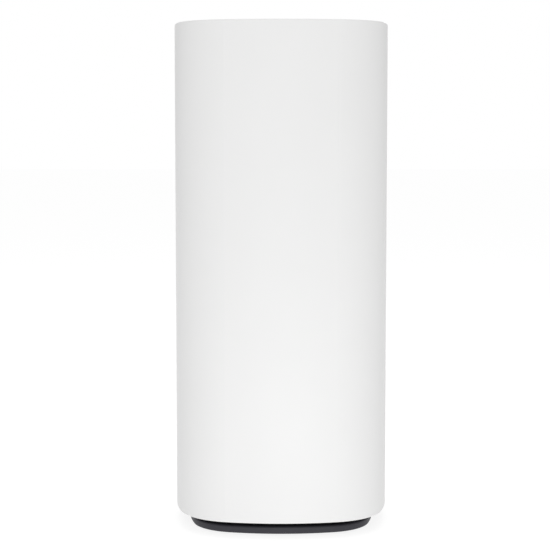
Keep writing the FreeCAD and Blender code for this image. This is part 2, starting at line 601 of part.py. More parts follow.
def side_rail(side):
    """An upright wall beside the board, with windows, tabs for the board's screws and pegs for antennas."""
    front_y = CORE_GAP - outline_y(CORE_INSET, RAIL_OUTER_X)
    x0, x1 = sorted((side * RAIL_INNER_X, side * RAIL_OUTER_X))
    rail = box(x0, x1, front_y, RAIL_REAR_Y, BOTTOM_DECK_TOP_Z, TOP_DECK_Z)
    middles = [LOWEST_RAIL_WINDOW_Z] + [(ANTENNA_REAR_Z + z) / 2 for z in ANTENNA_FRONT_Z]
    half, tall = RAIL_WINDOW_HALF, RAIL_WINDOW_HEIGHT / 2
    windows = [box(x0, x1, -half, half, z - tall, z + tall) for z in middles]
    tab0, tab1 = sorted((side * RAIL_INNER_X, side * (RAIL_INNER_X - TAB_REACH)))
    tabs = [
        box(tab0, tab1, BOARD_FRONT_Y - TAB_THICKNESS, BOARD_FRONT_Y, z - TAB_HEIGHT / 2, z + TAB_HEIGHT / 2)
        for z in LOWER_SCREW_ROWS + UPPER_SCREW_ROWS
    ]
    pegs = [
        rod(PEG_DIAMETER, V(s * RAIL_OUTER_X, y, z + dz), X_AXIS * s, ANTENNA_INNER_X - RAIL_OUTER_X)
        for s, y, z in antenna_places()
        for dz in (PEG_INSET - ANTENNA_LENGTH / 2, ANTENNA_LENGTH / 2 - PEG_INSET)
        if s == side
    ]
    return fuse([rail.cut(windows)] + tabs + pegs)


def inner_chassis():
    ties = [
        box(-RAIL_INNER_X, RAIL_INNER_X, TIE_Y - TIE_DEPTH, TIE_Y, z - TIE_HEIGHT / 2, z + TIE_HEIGHT / 2)
        for z in ANTENNA_FRONT_Z
    ]
    pilots = [rod(SCREW_DIAMETER, V(x, y, BOTTOM_DECK_Z), UP, DECK_THICKNESS) for x, y in BASE_SCREWS]
    bores = [
        rod(SCREW_DIAMETER + 2 * SCREW_GAP, V(x, BOARD_FRONT_Y - TAB_THICKNESS, z), REAR, TAB_THICKNESS)
        for x, z in BOARD_SCREWS
    ]
    return fuse([bottom_deck(), top_deck(), side_rail(-1), side_rail(1)] + ties).cut(pilots + bores)


def antenna_places():
    """Centre of each antenna as (side, y, z)."""
    front = [(side, ANTENNA_FRONT_Y, z) for side in (-1, 1) for z in ANTENNA_FRONT_Z]
    return front + [(side, ANTENNA_REAR_Y, ANTENNA_REAR_Z) for side in (-1, 1)]


def antennas():
    boards = []
    for side, y, z in antenna_places():
        lo, hi = sorted((side * ANTENNA_INNER_X, side * ANTENNA_OUTER_X))
        boards.append(box(lo, hi, y - ANTENNA_WIDTH / 2, y + ANTENNA_WIDTH / 2, z - ANTENNA_LENGTH / 2,
                          z + ANTENNA_LENGTH / 2))
    return boards


def lead_height(z):
    """Each antenna's lead leaves it near its lower end."""
    return z - ANTENNA_LENGTH / 2 + ANTENNA_FEED


def antenna_leads():
    """From each antenna's feed, round the rear edge of the rail, to its plug on the board."""
    radius = CORNER_RADIUS - LEAD_INSET
    bends = [
        (CORNER_CENTRE + radius * math.cos(angle), CORNER_CENTRE + radius * math.sin(angle))
        for angle in map(math.radians, LEAD_TURNS)
    ]
    plug_y = BOARD_REAR_Y + LEAD_SOCKET_HEIGHT + LEAD_PLUG_HEIGHT
    leads = []
    for side, y, z in antenna_places():
        route = [(LEAD_X, y)] + bends + [(LEAD_SOCKET_X, bends[-1][1]), (LEAD_SOCKET_X, plug_y)]
        leads.append(tube_along([V(side * px, py, lead_height(z)) for px, py in route], LEAD_DIAMETER))
    return leads


def lead_plugs():
    y = BOARD_REAR_Y + LEAD_SOCKET_HEIGHT
    return [
        rod(LEAD_PLUG_DIAMETER, V(side * LEAD_SOCKET_X, y, lead_height(z)), REAR, LEAD_PLUG_HEIGHT)
        for side, _, z in antenna_places()
    ]


def lead_sockets():
    return [
        block_at(side * LEAD_SOCKET_X, lead_height(z), LEAD_SOCKET_SIZE, LEAD_SOCKET_SIZE, BOARD_REAR_Y,
                 BOARD_REAR_Y + LEAD_SOCKET_HEIGHT)
        for side, _, z in antenna_places()
    ]


# ---------------------------------------------------------------- port bay
def bay_ears():
    """An ear and a boss on each side for each lower board screw."""
    inner = BAY_HALF - BAY_WALL
    ears = []
    for x, z in LOWER_SCREWS:
        lo, hi = sorted((math.copysign(inner, x), x))
        half, end = BOSS_DIAMETER / 2, SKIRT_Y + EAR_THICKNESS
        ears.append(box(lo, hi, SKIRT_Y, end, z - half, z + half))
        ears.append(rod(BOSS_DIAMETER, V(x, BOARD_REAR_Y, z), REAR, end - BOARD_REAR_Y))
    return ears


def port_bay():
    """A tray that closes the notch, its rim flush with the sleeve, with an opening for each socket."""
    def prism(wall, y0, y1):
        return bay_prism(BAY_HALF - wall, BAY_Z + wall, PORT_BAY_TOP - wall, PORT_BAY_CORNER - wall,
                         PORT_BAY_SILL_CORNER, y0, y1)

    shell = prism(0, SKIRT_Y, HALF).common(slab(BAY_RIM_INSET, 0, NODE_HEIGHT))
    shell = shell.cut([prism(BAY_WALL, PANEL_Y, HALF), prism(BAY_WALL, SKIRT_Y, PANEL_BACK_Y)])
    shell = rounded(shell, BAY_RIM_ROUND, lying_on(upright(BAY_RIM_INSET)))
    ears = fuse(bay_ears()).common(slab(CORE_INSET, 0, NODE_HEIGHT))
    y0, y1 = PANEL_BACK_Y, PANEL_Y
    gap = 2 * CUTOUT_GAP
    openings = [block_at(x, z, SOCKET_WIDTH + gap, SOCKET_HEIGHT + gap, y0, y1) for x, z in SOCKETS.values()]
    openings.append(block_at(*USB_AT, USB_WIDTH + gap, USB_HEIGHT + gap, y0, y1))
    openings.append(block_at(*INLET_AT, INLET_WIDTH + gap, INLET_WIDTH + gap, y0, y1))
    openings.append(block_at(*SWITCH_AT, SWITCH_LENGTH + gap, SWITCH_WIDTH + gap, y0, y1))
    openings.append(rod(PAIR_DIAMETER + 2 * PAIR_GAP, V(PAIR_AT[0], y0, PAIR_AT[1]), REAR, BAY_FLOOR))
    pilots = [rod(SCREW_DIAMETER, V(x, BOARD_REAR_Y, z), REAR, SCREW_BITE) for x, z in LOWER_SCREWS]
    return fuse([shell, ears]).cut(openings + pilots)


def plug_opening(x, z, y0, y1):
    """The stepped opening of an Ethernet socket, its latch side down."""
    steps, top = [], z + PLUG_TOP
    for width, height in (
        (PLUG_WIDTH, PLUG_HEIGHT),
        (LATCH_WIDTH, LATCH_HEIGHT),
        (LATCH_TIP_WIDTH, LATCH_TIP_HEIGHT),
    ):
        steps.append(box(x - width / 2, x + width / 2, y0, y1, top - height, top))
        top -= height
    return fuse(steps)


def lamp_windows(x, z, y0, y1):
    """The two signal windows above an Ethernet socket's opening."""
    rise = (PLUG_TOP + SOCKET_HEIGHT / 2 - SOCKET_SHEET) / 2
    return [block_at(x + s * LAMP_SIDE, z + rise, LAMP_WIDTH, LAMP_HEIGHT, y0, y1) for s in (-1, 1)]


def along_depth(edge):
    """Picks the edges that run from front to back."""
    return edge.BoundBox.YLength > JACK_DEPTH / 2


def socket_shield(x, z):
    inside_y = PANEL_Y - SOCKET_SHEET
    sheet = 2 * SOCKET_SHEET
    outer = block_at(x, z, SOCKET_WIDTH, SOCKET_HEIGHT, BOARD_REAR_Y, PANEL_Y)
    outer = rounded(outer, SOCKET_BEND, along_depth)
    inner = block_at(x, z, SOCKET_WIDTH - sheet, SOCKET_HEIGHT - sheet, BOARD_REAR_Y, inside_y)
    return outer.cut([inner, plug_opening(x, z, inside_y, PANEL_Y)] + lamp_windows(x, z, inside_y, PANEL_Y))


def socket_housing(x, z):
    margin = 2 * (SOCKET_SHEET + SOCKET_FIT)
    front = PANEL_Y - SOCKET_SHEET - SOCKET_FIT
    body = block_at(x, z, SOCKET_WIDTH - margin, SOCKET_HEIGHT - margin, BOARD_REAR_Y, front)
    cavity = plug_opening(x, z, BOARD_REAR_Y + SOCKET_BACK_WALL, front)
    return body.cut([cavity] + lamp_windows(x, z, PANEL_Y - LAMP_DEPTH, front))


def socket_contacts(x, z):
    """Eight springs that hang from the cavity's top near the mouth and slope down towards the back."""
    mouth, top = PANEL_Y - CONTACT_MOUTH_INSET, z + PLUG_TOP
    tail = mouth - CONTACT_LENGTH
    side_view = [
        (mouth, top),
        (tail, top - CONTACT_DROP),
        (tail - CONTACT_THICKNESS, top - CONTACT_DROP + 2 * CONTACT_THICKNESS),
        (mouth - 2.2 * CONTACT_THICKNESS, top),
    ]
    springs = []
    for k in range(CONTACTS):
        x0 = x + (k - (CONTACTS - 1) / 2) * CONTACT_PITCH - CONTACT_WIDTH / 2
        face = Part.Face(Part.makePolygon([V(x0, y, zz) for y, zz in side_view + side_view[:1]]))
        springs.append(face.extrude(V(CONTACT_WIDTH, 0, 0)))
    return springs


def socket_lamps():
    return [lamp for at in SOCKETS.values() for lamp in lamp_windows(*at, PANEL_Y - LAMP_DEPTH, PANEL_Y)]


def usb_shell():
    x, z = USB_AT
    outer = block_at(x, z, USB_WIDTH, USB_HEIGHT, BOARD_REAR_Y, PANEL_Y)
    inner = block_at(x, z, USB_WIDTH - 2 * USB_SHEET, USB_HEIGHT - 2 * USB_SHEET, BOARD_REAR_Y, PANEL_Y)
    return rounded(outer, USB_BEND, along_depth).cut(rounded(inner, USB_BEND - USB_SHEET, along_depth))


def usb_tongue():
    x, z = USB_AT
    width, height = USB_WIDTH - 2 * USB_SHEET, USB_HEIGHT - 2 * USB_SHEET
    block = block_at(x, z, width, height, BOARD_REAR_Y, BOARD_REAR_Y + USB_BLOCK_DEPTH)
    block = rounded(block, USB_BEND - USB_SHEET, lambda e: e.BoundBox.YLength > USB_BLOCK_DEPTH / 2)
    tongue = block_at(x, z + USB_TONGUE_RISE, USB_TONGUE_WIDTH, USB_TONGUE_THICKNESS, BOARD_REAR_Y,
                      PANEL_Y - USB_TONGUE_SETBACK)
    return fuse([block, tongue])


def inlet_root():
    """The pin's wide root, held in the body behind the bore."""
    x, z = INLET_AT
    back_y = PANEL_Y - INLET_BORE_DEPTH - INLET_PIN_ROOT
    return rod(INLET_PIN_ROOT_DIAMETER, V(x, back_y, z), REAR, INLET_PIN_ROOT)


def inlet_body():
    x, z = INLET_AT
    body = block_at(x, z, INLET_WIDTH, INLET_WIDTH, BOARD_REAR_Y, PANEL_Y)
    bore = rod(INLET_BORE, V(x, PANEL_Y - INLET_BORE_DEPTH, z), REAR, INLET_BORE_DEPTH)
    return rounded(body.cut([bore, inlet_root()]), INLET_EDGE_ROUND, flat_at("Y", PANEL_Y))


def inlet_pin():
    x, z = INLET_AT
    pin = rod(INLET_PIN, V(x, PANEL_Y - INLET_BORE_DEPTH, z), REAR, INLET_BORE_DEPTH - INLET_PIN_SETBACK)
    pin = rounded(pin, INLET_PIN_ROUND, flat_at("Y", PANEL_Y - INLET_PIN_SETBACK))
    return pin.fuse(inlet_root())


def rocker_pivot():
    return V(SWITCH_AT[0], PANEL_Y + SWITCH_RIM_THICKNESS - ROCKER_PIVOT_DEPTH, SWITCH_AT[1])


def switch_body():
    x, z = SWITCH_AT
    face_y = PANEL_Y + SWITCH_RIM_THICKNESS
    body = block_at(x, z, SWITCH_LENGTH, SWITCH_WIDTH, BOARD_REAR_Y, face_y)
    rim = block_at(x, z, SWITCH_LENGTH + 2 * SWITCH_RIM, SWITCH_WIDTH + 2 * SWITCH_RIM, PANEL_Y, face_y)
    rim = rounded(rim, SWITCH_RIM_ROUND, lambda e: e.BoundBox.YLength > SWITCH_RIM_THICKNESS / 2)
    rim = rounded(rim, SWITCH_EDGE_ROUND, flat_at("Y", face_y))
    well = 2 * (ROCKER_RADIUS + ROCKER_GAP)
    floor_y = rocker_pivot().y - ROCKER_RADIUS - ROCKER_GAP
    cavity = block_at(x, z, well, ROCKER_WIDTH + 2 * ROCKER_GAP, floor_y, face_y)
    reach = ROCKER_WIDTH / 2 + TRUNNION_LENGTH + TRUNNION_GAP
    bearing = rod(TRUNNION_DIAMETER + 2 * TRUNNION_GAP, rocker_pivot() - UP * reach, UP, 2 * reach)
    return fuse([body, rim]).cut([cavity, bearing])


def on_rocker_face(edge):
    """Picks the edges round the rocker's two ends and its face, but not its valley or its underside."""
    at = middle(edge)
    beside = abs(abs(at.z) - ROCKER_WIDTH / 2) < TOLERANCE and at.y > TOLERANCE - ROCKER_UNDERSIDE
    return beside or at.y > ROCKER_VALLEY + TOLERANCE


def power_rocker():
    """A rocker with a shallow V face, at rest with its +X end pressed in, and an I and an O marked on it."""
    tilt = math.radians(ROCKER_TILT)
    reach = 2 * ROCKER_RADIUS
    end = ROCKER_VALLEY + reach * math.tan(tilt)
    width = V(0, 0, ROCKER_WIDTH)
    low = V(0, 0, -ROCKER_WIDTH / 2)
    drum = rod(2 * ROCKER_RADIUS, low, UP, ROCKER_WIDTH)
    valley = (0, ROCKER_VALLEY)
    above = [valley, (reach, end), (reach, reach), (-reach, reach), (-reach, end), valley]
    face_cut = Part.Face(Part.makePolygon([V(x, y, 0) + low for x, y in above])).extrude(width)
    under = box(-reach, reach, -reach, -ROCKER_UNDERSIDE, -ROCKER_WIDTH, ROCKER_WIDTH)
    body = rounded(drum.cut([face_cut, under]), ROCKER_EDGE_ROUND, on_rocker_face)
    span = ROCKER_WIDTH + 2 * TRUNNION_LENGTH
    body = fuse([body, rod(TRUNNION_DIAMETER, V(0, 0, -span / 2), UP, span)])
    line, tall = MARK_LINE / 2, MARK_HEIGHT / 2
    bar = box(-line, line, -MARK_DEPTH, MARK_DEPTH, -tall, tall)
    circle = rod(MARK_HEIGHT, V(0, -MARK_DEPTH, 0), REAR, 2 * MARK_DEPTH)
    circle = circle.cut(rod(MARK_HEIGHT - 2 * MARK_LINE, V(0, -MARK_DEPTH, 0), REAR, 2 * MARK_DEPTH))
    for mark, side in ((bar, 1), (circle, -1)):
        mark.rotate(V(0, 0, 0), UP, side * ROCKER_TILT)
        mark.translate(V(side * MARK_X, ROCKER_VALLEY + MARK_X * math.tan(tilt), 0))
    body = body.cut([bar, circle])
    body.rotate(V(0, 0, 0), UP, -ROCKER_TILT)
    body.translate(rocker_pivot())
    return body


def pair_button():
    x, z = PAIR_AT
    flange_y = PANEL_BACK_Y - PRESS_GAP - PAIR_FLANGE
    cap = rod(PAIR_DIAMETER, V(x, flange_y, z), REAR, PANEL_Y + PAIR_PROUD - flange_y)
    cap = rounded(cap, PAIR_EDGE_ROUND, flat_at("Y", PANEL_Y + PAIR_PROUD))
    flange = rod(PAIR_FLANGE_DIAMETER, V(x, flange_y, z), REAR, PAIR_FLANGE)
    stem_y = BOARD_REAR_Y + TACT_HEIGHT + TACT_PLUNGER_LENGTH / 2
    stem = rod(STEM_DIAMETER, V(x, stem_y, z), REAR, flange_y - stem_y)
    return fuse([cap, flange, stem])


def pair_plunger():
    x, z = PAIR_AT
    y0 = BOARD_REAR_Y + TACT_HEIGHT - TACT_PLUNGER_LENGTH / 2
    return rod(TACT_PLUNGER_DIAMETER, V(x, y0, z), REAR, TACT_PLUNGER_LENGTH)


def pair_switch():
    x, z = PAIR_AT
    body = block_at(x, z, TACT_SIZE, TACT_SIZE, BOARD_REAR_Y, BOARD_REAR_Y + TACT_HEIGHT)
    depth = TACT_PLUNGER_LENGTH / 2 + PAIR_TRAVEL + PRESS_GAP
    floor = V(x, BOARD_REAR_Y + TACT_HEIGHT - depth, z)
    return body.cut(rod(TACT_PLUNGER_DIAMETER + 2 * TACT_PLUNGER_GAP, floor, REAR, depth))


def reset_levels():
    """Heights of the reset rod's foot and top, and of the switch above it."""
    switch_z = BOTTOM_DECK_TOP_Z + RESET_SWITCH_RISE
    return FOOT_HEIGHT + RESET_SETBACK, switch_z - TACT_PLUNGER_LENGTH / 2, switch_z


def reset_button():
    foot, top, _ = reset_levels()
    pin = rod(RESET_DIAMETER, V(RESET_X, RESET_Y, foot), UP, top - foot)
    flange = rod(RESET_FLANGE_DIAMETER, V(RESET_X, RESET_Y, FLOOR_TOP_Z + PRESS_GAP), UP, RESET_FLANGE)
    return fuse([pin, flange])


def reset_plunger():
    _, top, switch_z = reset_levels()
    return rod(RESET_PLUNGER_DIAMETER, V(RESET_X, RESET_Y, top), UP, TACT_PLUNGER_LENGTH)


def reset_switch():
    _, _, z0 = reset_levels()
    front_y = BOARD_FRONT_Y - TACT_HEIGHT
    body = Part.makeBox(TACT_SIZE, TACT_HEIGHT, RESET_SWITCH_LENGTH, V(RESET_X - TACT_SIZE / 2, front_y, z0))
    depth = TACT_PLUNGER_LENGTH / 2 + RESET_TRAVEL + PRESS_GAP
    return body.cut(rod(RESET_PLUNGER_DIAMETER + 2 * TACT_PLUNGER_GAP, V(RESET_X, RESET_Y, z0), UP, depth))


# ---------------------------------------------------------------- board and what it carries
def main_board():
    board = box(-BOARD_HALF, BOARD_HALF, BOARD_FRONT_Y, BOARD_REAR_Y, BOTTOM_DECK_TOP_Z, BOARD_TOP_Z)
    bores = [
        rod(SCREW_DIAMETER + 2 * SCREW_GAP, V(x, BOARD_FRONT_Y, z), REAR, BOARD_THICKNESS)
        for x, z in BOARD_SCREWS + SINK_SCREWS + REAR_SINK_SCREWS
    ]
    return board.cut(bores)


def board_screws():
    """Through a tab and the board, the lower ones into the port bay's bosses, the upper ones into nuts."""
    length = TAB_THICKNESS + BOARD_THICKNESS + SCREW_BITE
    return [screw(V(x, BOARD_FRONT_Y - TAB_THICKNESS, z), REAR, length) for x, z in BOARD_SCREWS]


def board_nuts():
    nuts = []
    for x, z in UPPER_SCREWS:
        angles = [k * math.pi / 3 for k in range(7)]
        rim = [V(x + NUT_RADIUS * math.cos(a), BOARD_REAR_Y, z + NUT_RADIUS * math.sin(a)) for a in angles]
        nut = Part.Face(Part.makePolygon(rim)).extrude(V(0, NUT_THICKNESS, 0))
        nuts.append(nut.cut(rod(SCREW_DIAMETER, V(x, BOARD_REAR_Y, z), REAR, NUT_THICKNESS)))
    return nuts


def can(x, z, size, y_board, height, facing):
    """A pressed lid with four walls that stand on the board."""
    y_top = y_board + facing * height
    y0, y1 = sorted((y_board, y_top))
    inner = sorted((y_board, y_top - facing * SHIELD_SHEET))
    outer = block_at(x, z, size, size, y0, y1)
    return outer.cut(block_at(x, z, size - 2 * SHIELD_SHEET, size - 2 * SHIELD_SHEET, *inner))


def front_chip(x, z, width, height):
    return block_at(x, z, width, height, BOARD_FRONT_Y - CHIP_HEIGHT, BOARD_FRONT_Y)


def processor():
    return front_chip(0, PROCESSOR_Z, PROCESSOR_SIZE, PROCESSOR_SIZE)


def memory_chips():
    return [front_chip(s * MEMORY_X, PROCESSOR_Z, MEMORY_WIDTH, MEMORY_LENGTH) for s in (-1, 1)]


def front_levels():
    """Faces in front of the board, stacked from it: chip, pad, shield lid, pad, heat sink base."""
    chip = BOARD_FRONT_Y - CHIP_HEIGHT
    lid_back = chip - INNER_PAD
    lid = lid_back - SHIELD_SHEET
    pad = lid - OUTER_PAD
    return chip, lid_back, lid, pad, pad - SINK_BASE


def processor_pad():
    chip, lid_back, _, _, _ = front_levels()
    size = PROCESSOR_SIZE - PAD_MARGIN
    return block_at(0, PROCESSOR_Z, size, size, lid_back, chip)


def processor_shield():
    _, _, lid, _, _ = front_levels()
    return can(0, PROCESSOR_Z, PROCESSOR_SHIELD, BOARD_FRONT_Y, BOARD_FRONT_Y - lid, -1)


def front_sink_pad():
    _, _, lid, pad, _ = front_levels()
    size = PROCESSOR_SHIELD - 4 * PAD_MARGIN
    return block_at(0, PROCESSOR_Z, size, size, pad, lid)


def fins(half_width, count, z0, z1, y0, y1):
    step = (2 * half_width - FIN_THICKNESS) / (count - 1)
    edges = [k * step - half_width for k in range(count)]
    return [box(x, x + FIN_THICKNESS, y0, y1, z0, z1) for x in edges]


def heat_sink(half_width, z_range, plate_y, fin_y, board_y, fin_count, screws):
    """A plate with fins on one side, and on the other a boss down to the board at each screw."""
    z0, z1 = z_range
    facing = math.copysign(1, plate_y[0] - board_y)
    near, far = plate_y
    plate = box(-half_width, half_width, *sorted((near, far)), z0, z1)
    blades = fins(half_width, fin_count, z0, z1, *sorted((far, fin_y)))
    away = V(0, facing, 0)
    bosses = [rod(SINK_BOSS_DIAMETER, V(x, board_y, z), away, abs(near - board_y)) for x, z in screws]
    pilots = [rod(SCREW_DIAMETER, V(x, board_y, z), away, SCREW_BITE) for x, z in screws]
    return fuse([plate] + blades + bosses).cut(pilots)


def front_heat_sink():
    _, _, _, back, face = front_levels()
    return heat_sink(FRONT_SINK_HALF_WIDTH, FRONT_SINK_Z, (back, face), face - FRONT_FIN_DEPTH, BOARD_FRONT_Y,
                     FRONT_FINS, SINK_SCREWS)


def front_sink_screws():
    return [screw(V(x, BOARD_REAR_Y, z), FRONT, BOARD_THICKNESS + SCREW_BITE) for x, z in SINK_SCREWS]


def radio_chips():
    return [block_at(0, z, RADIO_SIZE, RADIO_SIZE, BOARD_REAR_Y, BOARD_REAR_Y + CHIP_HEIGHT) for z in RADIO_Z]


def radio_shields():
    return [can(0, z, RADIO_SHIELD, BOARD_REAR_Y, RADIO_SHIELD_HEIGHT, 1) for z in RADIO_Z]


def radio_pads():
    """One pad inside and one outside each shield."""
    lid = BOARD_REAR_Y + RADIO_SHIELD_HEIGHT
    inner, outer = RADIO_SIZE - PAD_MARGIN, RADIO_SHIELD - 4 * PAD_MARGIN
    pads = [block_at(0, z, inner, inner, BOARD_REAR_Y + CHIP_HEIGHT, lid - SHIELD_SHEET) for z in RADIO_Z]
    return pads + [block_at(0, z, outer, outer, lid, lid + OUTER_PAD) for z in RADIO_Z]


def rear_heat_sink():
    near = BOARD_REAR_Y + RADIO_SHIELD_HEIGHT + OUTER_PAD
    far = near + SINK_BASE
    return heat_sink(REAR_SINK_HALF_WIDTH, REAR_SINK_Z, (near, far), far + REAR_FIN_DEPTH, BOARD_REAR_Y,
                     REAR_FINS, REAR_SINK_SCREWS)


def rear_sink_screws():
    return [screw(V(x, BOARD_FRONT_Y, z), REAR, BOARD_THICKNESS + SCREW_BITE) for x, z in REAR_SINK_SCREWS]


def transformers():
    size = (TRANSFORMER_WIDTH, TRANSFORMER_LENGTH)
    y0 = BOARD_FRONT_Y - TRANSFORMER_HEIGHT
    return [block_at(*at, *size, y0, BOARD_FRONT_Y) for at in SOCKETS.values()]


def router_chip():
    return front_chip(0, ROUTER_CHIP_Z, ROUTER_CHIP_SIZE, ROUTER_CHIP_SIZE)


def power_inductors():
    y0 = BOARD_FRONT_Y - INDUCTOR_HEIGHT
    places = (-INDUCTOR_X, INDUCTOR_X)
    coils = [block_at(x, POWER_PARTS_Z, INDUCTOR_SIZE, INDUCTOR_SIZE, y0, BOARD_FRONT_Y) for x in places]
    return [rounded(c, INDUCTOR_ROUND, lambda e: e.BoundBox.YLength > INDUCTOR_HEIGHT / 2) for c in coils]


def power_capacitors():
    return [
        rod(CAPACITOR_DIAMETER, V(x, BOARD_FRONT_Y, z), FRONT, CAPACITOR_HEIGHT)
        for x in (-CAPACITOR_X, CAPACITOR_X)
        for z in (POWER_PARTS_Z, ROUTER_CHIP_Z)
    ]


# ---------------------------------------------------------------- status light
def status_light():
    pipe = rod(LIGHT_DIAMETER, V(0, 0, TOP_DECK_Z + LED_HEIGHT + LIGHT_GAP), UP,
               CAP_TOP_Z - TOP_DECK_Z - LED_HEIGHT - LIGHT_GAP)
    flange = rod(LIGHT_FLANGE_DIAMETER, V(0, 0, LEDGE_Z), UP, CAP_Z + LIGHT_FLANGE - LEDGE_Z)
    return fuse([pipe, flange])


def status_led():
    return Part.makeBox(LED_WIDTH, LED_DEPTH, LED_HEIGHT, V(-LED_WIDTH / 2, -LED_DEPTH / 2, TOP_DECK_Z))


def led_board():
    corner = V(-LED_BOARD_WIDTH / 2, -LED_BOARD_DEPTH / 2, TOP_DECK_Z - LED_BOARD_THICKNESS)
    return Part.makeBox(LED_BOARD_WIDTH, LED_BOARD_DEPTH, LED_BOARD_THICKNESS, corner)


def ribbon_sockets():
    """One under the light's board and one at the top of the main board."""
    half = RIBBON_SOCKET_WIDTH / 2
    length, height = RIBBON_SOCKET_LENGTH, RIBBON_SOCKET_HEIGHT
    z1 = TOP_DECK_Z - LED_BOARD_THICKNESS
    y1 = LED_BOARD_DEPTH / 2
    upper = box(-half, half, y1 - length, y1, z1 - height, z1)
    lower = box(-half, half, BOARD_REAR_Y, BOARD_REAR_Y + height, BOARD_TOP_Z - length, BOARD_TOP_Z)
    return [upper, lower]


def ribbon_cable():
    z_upper = TOP_DECK_Z - LED_BOARD_THICKNESS - RIBBON_SOCKET_HEIGHT / 2
    y_lower = BOARD_REAR_Y + RIBBON_SOCKET_HEIGHT / 2
    route = [V(0, LED_BOARD_DEPTH / 2, z_upper), V(0, y_lower, z_upper), V(0, y_lower, BOARD_TOP_Z)]
    return strip_along(route, RIBBON_THICKNESS, RIBBON_WIDTH)


# ---------------------------------------------------------------- build and write
def all_parts():
    parts = {
        "outer_sleeve": outer_sleeve(),
        "top_cap": top_cap(),
        "cap_screws": cap_screws(),
        "base": base(),
        "base_screws": base_screws(),
        "rubber_foot": rubber_foot(),
        "rating_label": rating_label(),
        "inner_chassis": inner_chassis(),
        "antennas": antennas(),
        "antenna_leads": antenna_leads(),
        "lead_plugs": lead_plugs(),
        "lead_sockets": lead_sockets(),
        "port_bay": port_bay(),
        "socket_lamps": socket_lamps(),
        "usb_shell": usb_shell(),
        "usb_tongue": usb_tongue(),
        "inlet_body": inlet_body(),
        "inlet_pin": inlet_pin(),
        "switch_body": switch_body(),
        "power_rocker": power_rocker(),
        "pair_button": pair_button(),
        "pair_plunger": pair_plunger(),
        "pair_switch": pair_switch(),
        "reset_button": reset_button(),
        "reset_plunger": reset_plunger(),
        "reset_switch": reset_switch(),
        "main_board": main_board(),
        "board_screws": board_screws(),
        "board_nuts": board_nuts(),
        "processor": processor(),
        "memory_chips": memory_chips(),
        "processor_pad": processor_pad(),
        "processor_shield": processor_shield(),
        "front_sink_pad": front_sink_pad(),
        "front_heat_sink": front_heat_sink(),
        "front_sink_screws": front_sink_screws(),
        "radio_chips": radio_chips(),
        "radio_shields": radio_shields(),
        "radio_pads": radio_pads(),
        "rear_heat_sink": rear_heat_sink(),
        "rear_sink_screws": rear_sink_screws(),
        "transformers": transformers(),
        "router_chip": router_chip(),
        "power_inductors": power_inductors(),
        "power_capacitors": power_capacitors(),
        "status_light": status_light(),
        "status_led": status_led(),
        "led_board": led_board(),
        "ribbon_sockets": ribbon_sockets(),
        "ribbon_cable": ribbon_cable(),
    }
    for name, (x, z) in SOCKETS.items():
        parts[name + "_shield"] = socket_shield(x, z)
        parts[name + "_housing"] = socket_housing(x, z)
    parts["socket_contacts"] = [s for x, z in SOCKETS.values() for s in socket_contacts(x, z)]
    return parts


def main():
    os.makedirs("parts", exist_ok=True)
    for name, made in all_parts().items():
        shape = Part.makeCompound(made) if isinstance(made, list) else made
        shape.exportStep(f"parts/{name}.step")
        print(f"{name}: {len(shape.Solids)} solids, {shape.Volume:.1f} mm3, valid {shape.isValid()}")


main()
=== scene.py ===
import json
import math

import bmesh
import bpy
from mathutils import Matrix, Vector


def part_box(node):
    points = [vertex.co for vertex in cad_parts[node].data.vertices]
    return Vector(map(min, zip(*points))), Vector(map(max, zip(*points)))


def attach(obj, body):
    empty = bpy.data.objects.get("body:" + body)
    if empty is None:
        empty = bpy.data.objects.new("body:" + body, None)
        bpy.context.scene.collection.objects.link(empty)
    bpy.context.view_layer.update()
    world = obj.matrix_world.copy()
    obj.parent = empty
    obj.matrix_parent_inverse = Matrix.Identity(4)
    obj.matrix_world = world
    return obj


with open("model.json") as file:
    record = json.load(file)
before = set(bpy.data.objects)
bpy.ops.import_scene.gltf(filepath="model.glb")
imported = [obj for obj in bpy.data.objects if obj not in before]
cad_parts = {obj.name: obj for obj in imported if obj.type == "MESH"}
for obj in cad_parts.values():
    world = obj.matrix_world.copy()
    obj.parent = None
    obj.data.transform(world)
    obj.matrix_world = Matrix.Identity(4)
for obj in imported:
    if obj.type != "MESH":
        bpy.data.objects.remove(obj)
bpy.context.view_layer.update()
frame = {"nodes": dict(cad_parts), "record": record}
nodes = frame["nodes"]

MM = 0.001
WHITE = (1.0, 1.0, 1.0, 1.0)
BODY = "housing"


# ---------------------------------------------------------------- camera
CAMERA_PLACE = (-0.00268, -0.7122, 0.1730)
CAMERA_DIP = 5.2367  # degrees below level
CAMERA_LENS = 105.33  # mm, on a sensor of this width
CAMERA_SENSOR = 36.0


def add_camera():
    """A long lens 0.7 m in front of the node, level with its upper part and looking slightly down."""
    data = bpy.data.cameras.new("camera")
    data.lens = CAMERA_LENS
    data.sensor_width = CAMERA_SENSOR
    camera = bpy.data.objects.new("camera", data)
    camera.location = CAMERA_PLACE
    camera.rotation_euler = (math.radians(90 - CAMERA_DIP), 0, 0)
    bpy.context.scene.collection.objects.link(camera)
    bpy.context.scene.camera = camera


# ---------------------------------------------------------------- studio
SURROUND = 0.572
FLOOR_GLOW = 0.845
FLOOR_WHITE = 0.25
FLOOR_REACH = 6.0


def add_softbox(name, place, target, size, power):
    data = bpy.data.lights.new(name, "AREA")
    data.shape = "RECTANGLE"
    data.size, data.size_y = size
    data.energy = power
    light = bpy.data.objects.new(name, data)
    light.location = place
    light.rotation_euler = (Vector(target) - Vector(place)).to_track_quat("-Z", "Y").to_euler()
    light.visible_camera = False
    bpy.context.scene.collection.objects.link(light)


